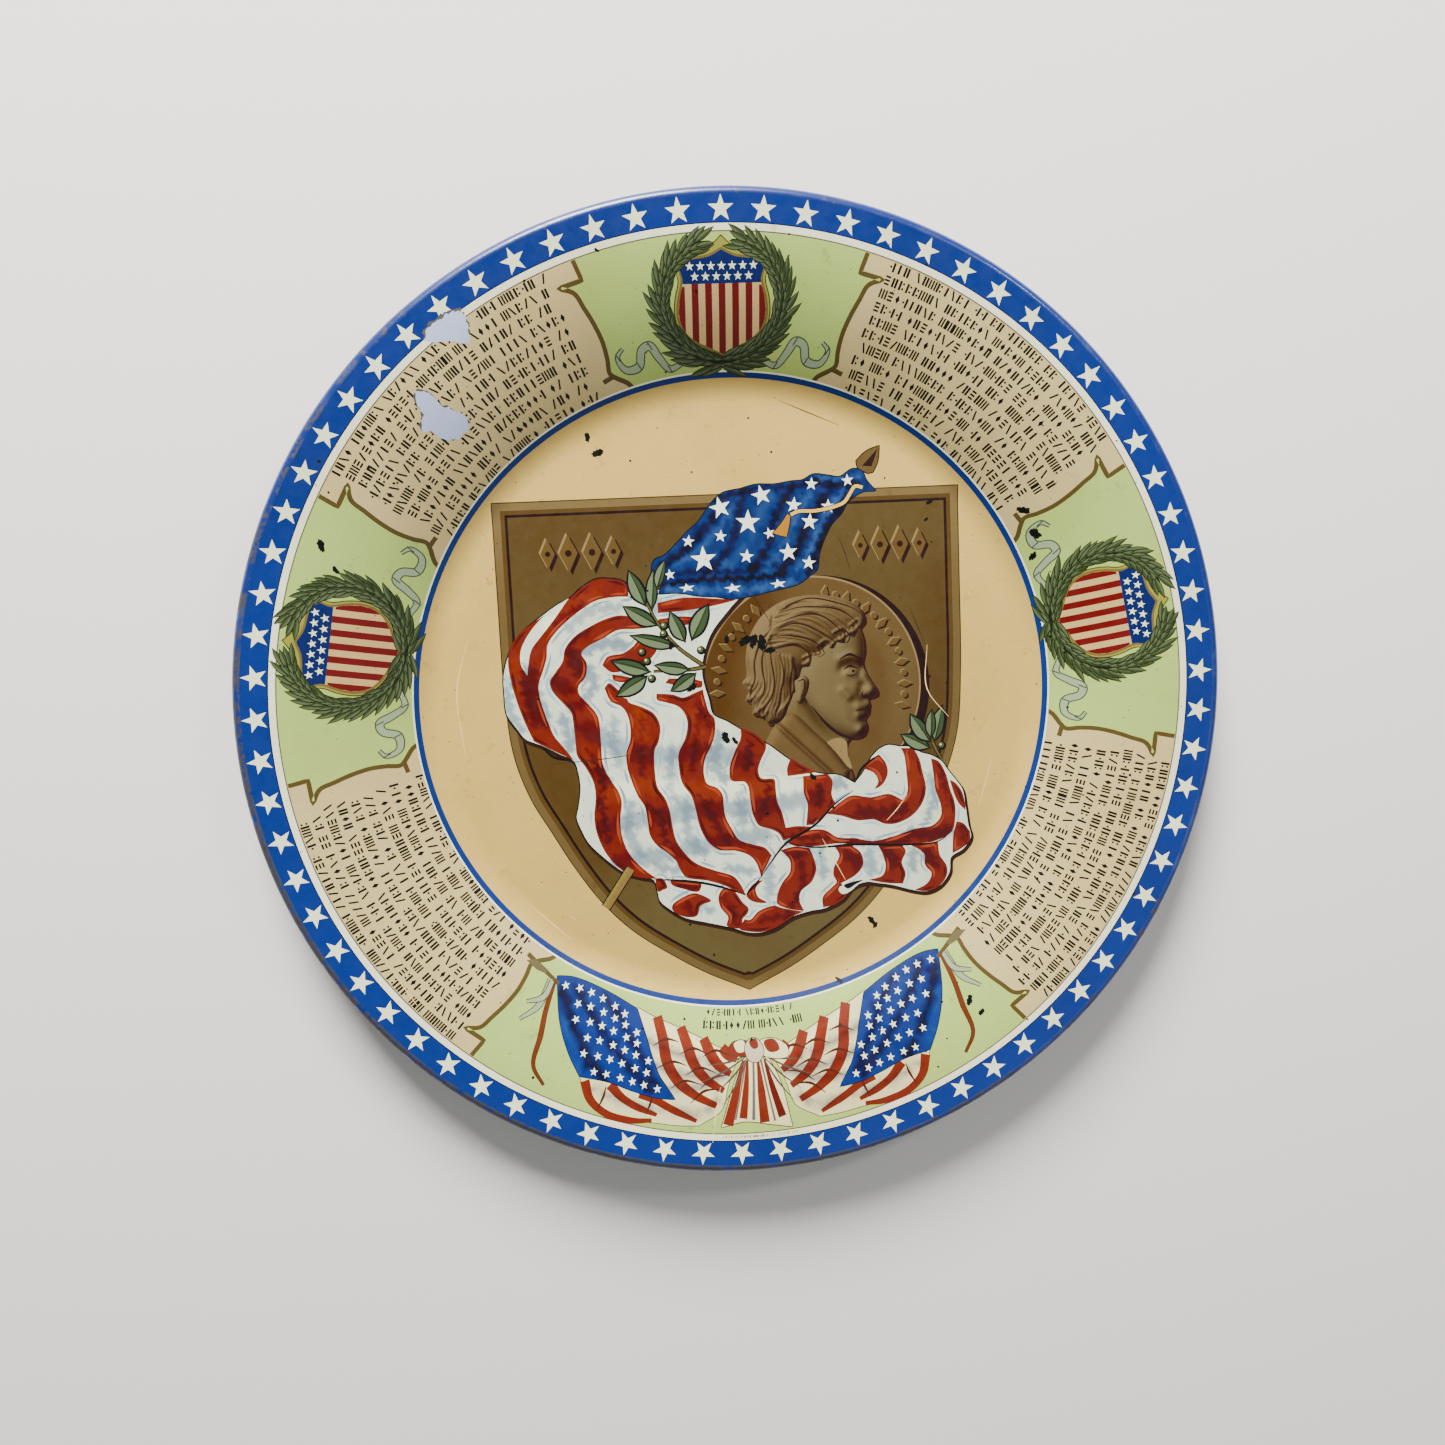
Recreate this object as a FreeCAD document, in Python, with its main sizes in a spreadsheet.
"""Round pressed-tin serving tray with a wired edge and a printed face.

The tray is one disc of tinned steel pressed into a shallow dish: a flat floor, a small cove, a
steep wall that rolls over into a wide domed flange, and a narrow border band.  The edge of the
sheet is curled outwards and down around an iron wire.  The printed coats lie on the upper face as
thin skins, one for each zone of the print.

Frame: +Z up, the origin on the surface that the tray stands on, under the middle of the floor.
All lengths are in millimetres and all angles in degrees.
"""
import FreeCAD, Part
import math
import os
import Sketcher

DIMENSIONS = {
    "tray_radius": 127.0,          # outside of the printed rim bead
    "sheet_gauge": 0.3,            # tinned steel
    "coat_thickness": 0.1,         # ink and varnish together
    "floor_radius": 78.0,          # where the flat floor ends and the cove begins
    "cove_radius": 10.0,
    "wall_angle": 31.0,            # slope of the straight wall above the cove
    "wall_end_radius": 86.0,       # where the straight wall turns into the domed flange
    "flange_end_radius": 118.9,    # where the dome ends and the border band begins
    "band_angle": 8.0,             # slope of the border band
    "wire_diameter": 3.175,        # one eighth of an inch
    "wire_clearance": 0.025,       # all round, between wire and curl
    "curl_wrap": 275.0,            # how far the sheet is rolled round the wire
    "print_wrap": 140.0,           # how far the border colour follows it
    "wire_gap_angle": 0.6,         # between the wire's butted ends
    "line_inner_radius": 83.7,     # the fine ring between the floor and the flange
    "line_outer_radius": 84.7,
    "border_inner_radius": 118.1,  # where the border colour begins
}

CUTTER_HEIGHT = 40.0               # taller than the tray, so that a cutter goes right through it

# The closed section's edges, in order: upper face outwards, round the tip, lower face inwards.
(FLOOR_TOP, COVE_TOP, WALL_TOP, FLANGE_TOP, BAND_TOP, CURL_TOP, TIP,
 CURL_UNDER, BAND_UNDER, FLANGE_UNDER, WALL_UNDER, COVE_UNDER, FLOOR_UNDER, AXIS) = range(14)
START, END, CENTRE = 1, 2, 3
ORIGIN_POINT = (-1, 1)
VERTICAL_AXIS = -2


def make_sheet(doc):
    """The spreadsheet that drives every size."""
    sheet = doc.addObject("Spreadsheet::Sheet", "Dims")
    for row, (name, value) in enumerate(DIMENSIONS.items(), start=1):
        sheet.set("A%d" % row, name)
        sheet.set("B%d" % row, str(value))
        sheet.setAlias("B%d" % row, name)
    doc.recompute()
    return sheet


def polar(centre, radius, degrees):
    """The point at this angle on a circle in the section plane."""
    angle = math.radians(degrees)
    return centre + radius * FreeCAD.Vector(math.cos(angle), math.sin(angle), 0)


def section_geometry(sheet, lift, thickness, wrap):
    """The section's edges, as (radius, height) lines and arcs.

    lift is how far the upper face stands above the steel's own upper face.
    """
    wall = sheet.wall_angle
    band = sheet.band_angle
    floor_height = sheet.sheet_gauge + lift

    cove_centre = FreeCAD.Vector(sheet.floor_radius, sheet.sheet_gauge + sheet.cove_radius, 0)
    steel_wall_start = polar(cove_centre, sheet.cove_radius, wall - 90)
    wall_run = (sheet.wall_end_radius - steel_wall_start.x) / math.cos(math.radians(wall))
    steel_wall_end = polar(steel_wall_start, wall_run, wall)

    turn = math.sin(math.radians(wall)) - math.sin(math.radians(band))
    dome_radius = (sheet.flange_end_radius - sheet.wall_end_radius) / turn
    dome_centre = polar(steel_wall_end, dome_radius, wall - 90)
    band_start = polar(dome_centre, dome_radius, band + 90)

    curl_radius = sheet.wire_diameter / 2 + sheet.wire_clearance + sheet.sheet_gauge
    curl_x = sheet.tray_radius - sheet.coat_thickness - curl_radius
    band_end_x = curl_x - curl_radius * math.sin(math.radians(band))
    band_rise = (band_end_x - band_start.x) * math.tan(math.radians(band))
    band_end = FreeCAD.Vector(band_end_x, band_start.y + band_rise, 0)
    curl_centre = polar(band_end, curl_radius, band - 90)

    def line(first, second):
        return Part.LineSegment(first, second)

    def arc(centre, radius, from_degrees, to_degrees):
        circle = Part.Circle(centre, FreeCAD.Vector(0, 0, 1), radius)
        return Part.ArcOfCircle(circle, math.radians(from_degrees), math.radians(to_degrees))

    def face_edges(offset):
        """One face of the section, from the axis outwards, at this height above the steel."""
        height = sheet.sheet_gauge + offset
        cove = sheet.cove_radius - offset
        dome = dome_radius + offset
        curl = curl_radius + offset
        return [
            line(FreeCAD.Vector(0, height, 0), FreeCAD.Vector(sheet.floor_radius, height, 0)),
            arc(cove_centre, cove, -90, wall - 90),
            line(polar(cove_centre, cove, wall - 90), polar(dome_centre, dome, wall + 90)),
            arc(dome_centre, dome, band + 90, wall + 90),
            line(polar(dome_centre, dome, band + 90), polar(curl_centre, curl, band + 90)),
            arc(curl_centre, curl, band + 90 - wrap, band + 90),
        ]

    upper = face_edges(lift)
    lower = face_edges(lift - thickness)
    for index in (0, 2, 4):
        run = lower[index]
        lower[index] = line(run.EndPoint, run.StartPoint)
    tip = line(upper[5].StartPoint, lower[5].StartPoint)
    axis = line(FreeCAD.Vector(0, floor_height - thickness, 0), FreeCAD.Vector(0, floor_height, 0))
    return upper + [tip] + lower[::-1] + [axis]


def join_edges(sketch):
    """Coincident ends, smooth wherever a line meets an arc."""
    smooth = [
        (FLOOR_TOP, END, COVE_TOP, START),
        (COVE_TOP, END, WALL_TOP, START),
        (WALL_TOP, END, FLANGE_TOP, END),
        (FLANGE_TOP, START, BAND_TOP, START),
        (BAND_TOP, END, CURL_TOP, END),
        (CURL_UNDER, END, BAND_UNDER, START),
        (BAND_UNDER, END, FLANGE_UNDER, START),
        (FLANGE_UNDER, END, WALL_UNDER, START),
        (WALL_UNDER, END, COVE_UNDER, END),
        (COVE_UNDER, START, FLOOR_UNDER, START),
    ]
    for ends in smooth:
        sketch.addConstraint(Sketcher.Constraint("Tangent", *ends))
    corners = [
        (TIP, END, CURL_UNDER, START),
        (FLOOR_UNDER, END, AXIS, START),
        (AXIS, END, FLOOR_TOP, START),
    ]
    for ends in corners:
        sketch.addConstraint(Sketcher.Constraint("Coincident", *ends))
    sketch.addConstraint(Sketcher.Constraint("Perpendicular", CURL_TOP, START, TIP, START))
    for outer, inner in ((COVE_TOP, COVE_UNDER), (FLANGE_TOP, FLANGE_UNDER), (CURL_TOP, CURL_UNDER)):
        sketch.addConstraint(Sketcher.Constraint("Coincident", outer, CENTRE, inner, CENTRE))
    sketch.addConstraint(Sketcher.Constraint("Parallel", WALL_TOP, WALL_UNDER))
    sketch.addConstraint(Sketcher.Constraint("Parallel", BAND_TOP, BAND_UNDER))
    sketch.addConstraint(Sketcher.Constraint("Horizontal", FLOOR_TOP))
    sketch.addConstraint(Sketcher.Constraint("Horizontal", FLOOR_UNDER))
    sketch.addConstraint(Sketcher.Constraint("PointOnObject", AXIS, START, VERTICAL_AXIS))
    sketch.addConstraint(Sketcher.Constraint("Vertical", AXIS))


def bind(sketch, name, expression, *constraint):
    """Add a named driving constraint and bind its value to the spreadsheet."""
    index = sketch.addConstraint(Sketcher.Constraint(*constraint))
    sketch.renameConstraint(index, name)
    sketch.setExpression("Constraints." + name, expression)


def size_section(sketch, sheet, edges, lift, thickness, wrap):
    """Bind the section's sizes.  lift, thickness and wrap are spreadsheet expressions."""
    curl_radius = "Dims.wire_diameter / 2 + Dims.wire_clearance + Dims.sheet_gauge"
    bind(sketch, "floor_height", "Dims.sheet_gauge + " + lift,
         "DistanceY", *ORIGIN_POINT, AXIS, END, edges[AXIS].EndPoint.y)
    bind(sketch, "thickness", thickness, "DistanceY", AXIS, START, AXIS, END, edges[AXIS].length())
    bind(sketch, "floor_radius", "Dims.floor_radius",
         "DistanceX", *ORIGIN_POINT, FLOOR_UNDER, START, edges[FLOOR_UNDER].StartPoint.x)
    bind(sketch, "cove_radius", "Dims.cove_radius - (%s)" % lift,
         "Radius", COVE_TOP, edges[COVE_TOP].Radius)
    bind(sketch, "wall_angle", "Dims.wall_angle * 1deg",
         "Angle", WALL_TOP, math.radians(sheet.wall_angle))
    bind(sketch, "wall_end", "Dims.wall_end_radius - (%s) * sin(Dims.wall_angle * 1deg)" % lift,
         "DistanceX", *ORIGIN_POINT, WALL_TOP, END, edges[WALL_TOP].EndPoint.x)
    bind(sketch, "band_angle", "Dims.band_angle * 1deg",
         "Angle", BAND_TOP, math.radians(sheet.band_angle))
    bind(sketch, "band_start", "Dims.flange_end_radius - (%s) * sin(Dims.band_angle * 1deg)" % lift,
         "DistanceX", *ORIGIN_POINT, BAND_TOP, START, edges[BAND_TOP].StartPoint.x)
    bind(sketch, "curl_radius", "%s + %s" % (curl_radius, lift),
         "Radius", CURL_TOP, edges[CURL_TOP].Radius)
    bind(sketch, "curl_centre", "Dims.tray_radius - Dims.coat_thickness - (%s)" % curl_radius,
         "DistanceX", *ORIGIN_POINT, CURL_TOP, CENTRE, edges[CURL_TOP].Center.x)
    bind(sketch, "curl_sweep", wrap + " * 1deg",
         "Angle", CURL_TOP, edges[CURL_TOP].LastParameter - edges[CURL_TOP].FirstParameter)


def origin_plane(body, role):
    return next(plane for plane in body.Origin.OriginFeatures if plane.Role == role)


def new_section_sketch(body, name):
    """An empty sketch on the body's vertical plane, with the radius along X and height along Z."""
    sketch = body.newObject("Sketcher::SketchObject", name)
    sketch.AttachmentSupport = (origin_plane(body, "XZ_Plane"), [""])
    sketch.MapMode = "FlatFace"
    return sketch


def revolve(body, sketch, name):
    """Turn the sketch about the tray's axis."""
    turned = body.newObject("PartDesign::Revolution", name)
    turned.Profile = sketch
    turned.ReferenceAxis = (sketch, ["V_Axis"])
    turned.Angle = 360.0
    sketch.Visibility = False
    return turned


def make_pressed_skin(doc, sheet, name, lift_cell, thickness_cell, wrap_cell):
    """A skin of even thickness that follows the pressed dish from its middle to the curl."""
    lift = getattr(sheet, lift_cell) if lift_cell else 0.0
    thickness = getattr(sheet, thickness_cell)
    body = doc.addObject("PartDesign::Body", name)
    body.Label = name
    sketch = new_section_sketch(body, name + "_section")
    edges = section_geometry(sheet, lift, thickness, getattr(sheet, wrap_cell))
    sketch.addGeometry(edges, False)
    join_edges(sketch)
    lift_expression = "Dims." + lift_cell if lift_cell else "0"
    size_section(sketch, sheet, edges, lift_expression,
                 "Dims." + thickness_cell, "Dims." + wrap_cell)
    revolve(body, sketch, name + "_turned")
    doc.recompute()
    return body


def make_rim_wire(doc, sheet, tin_section):
    """The iron wire inside the curl, bent to a ring whose ends butt with a small gap."""
    index = tin_section.addConstraint(
        Sketcher.Constraint("DistanceY", *ORIGIN_POINT, CURL_TOP, CENTRE, 1.0))
    tin_section.setDriving(index, False)
    tin_section.renameConstraint(index, "curl_centre_height")
    doc.recompute()

    body = doc.addObject("PartDesign::Body", "rim_wire")
    body.Label = "rim_wire"
    sketch = new_section_sketch(body, "wire_section")
    curl_centre = tin_section.Geometry[CURL_TOP].Center
    wire_radius = sheet.wire_diameter / 2
    sketch.addGeometry(Part.Circle(curl_centre, FreeCAD.Vector(0, 0, 1), wire_radius), False)
    bind(sketch, "wire_diameter", "Dims.wire_diameter", "Diameter", 0, sheet.wire_diameter)
    bind(sketch, "ring_radius", tin_section.Name + ".Constraints.curl_centre",
         "DistanceX", *ORIGIN_POINT, 0, CENTRE, curl_centre.x)
    bind(sketch, "ring_height", tin_section.Name + ".Constraints.curl_centre_height",
         "DistanceY", *ORIGIN_POINT, 0, CENTRE, curl_centre.y)
    turned = revolve(body, sketch, "wire_ring")
    turned.setExpression("Angle", "360deg - Dims.wire_gap_angle * 1deg")
    doc.recompute()
    return body


def make_cylinder(doc, name, radius_cell):
    """A cylinder about the tray's axis that is taller than the tray."""
    cylinder = doc.addObject("Part::Cylinder", name)
    cylinder.setExpression("Radius", "Dims." + radius_cell)
    cylinder.Height = CUTTER_HEIGHT
    return cylinder


def make_cut(doc, name, base, tool):
    cut = doc.addObject("Part::Cut", name)
    cut.Base = base
    cut.Tool = tool
    return cut


def make_print(doc, coat, name, inner_cell, outer_cell):
    """The part of the printed coat between two radii.  Either radius may be left out."""
    region = coat
    if inner_cell:
        core = make_cylinder(doc, name + "_core", inner_cell)
        region = make_cut(doc, name + "_outside_core", coat, core)
    if outer_cell:
        limit = make_cylinder(doc, name + "_limit", outer_cell)
        inside = doc.addObject("Part::Common", name + "_inside_limit")
        inside.Base = region
        inside.Tool = limit
        region = inside
    region.Label = name
    return region


def make_tray(doc):
    """Every sub-part of the tray."""
    sheet = make_sheet(doc)
    tin_sheet = make_pressed_skin(doc, sheet, "tin_sheet", None, "sheet_gauge", "curl_wrap")
    coat = make_pressed_skin(doc, sheet, "coat", "coat_thickness", "coat_thickness", "print_wrap")
    parts = [
        tin_sheet,
        make_rim_wire(doc, sheet, tin_sheet.Group[0]),
        make_print(doc, coat, "centre_print", None, "line_inner_radius"),
        make_print(doc, coat, "line_print", "line_inner_radius", "line_outer_radius"),
        make_print(doc, coat, "panel_print", "line_outer_radius", "border_inner_radius"),
        make_print(doc, coat, "border_print", "border_inner_radius", None),
    ]
    doc.recompute()
    return parts


def check(doc, parts):
    """Stop if any object failed or any sub-part is not a sound solid."""
    for item in doc.Objects:
        if "Invalid" in item.State or "Error" in item.State:
            raise RuntimeError("%s did not compute: %s" % (item.Name, item.State))
    for part in parts:
        shape = part.Shape
        if shape.isNull() or not shape.isValid() or len(shape.Solids) != 1:
            raise RuntimeError("%s is not one valid solid" % part.Label)
        box = shape.optimalBoundingBox(False)
        print("%-14s volume %7.1f mm3, radius to %.3f mm, height %.3f to %.3f mm"
              % (part.Label, shape.Volume, box.XMax, box.ZMin, box.ZMax))


def export(parts):
    os.makedirs("parts", exist_ok=True)
    for part in parts:
        part.Shape.exportStep("parts/%s.step" % part.Label)


document = FreeCAD.newDocument("serving_tray")
tray_parts = make_tray(document)
check(document, tray_parts)
export(tray_parts)
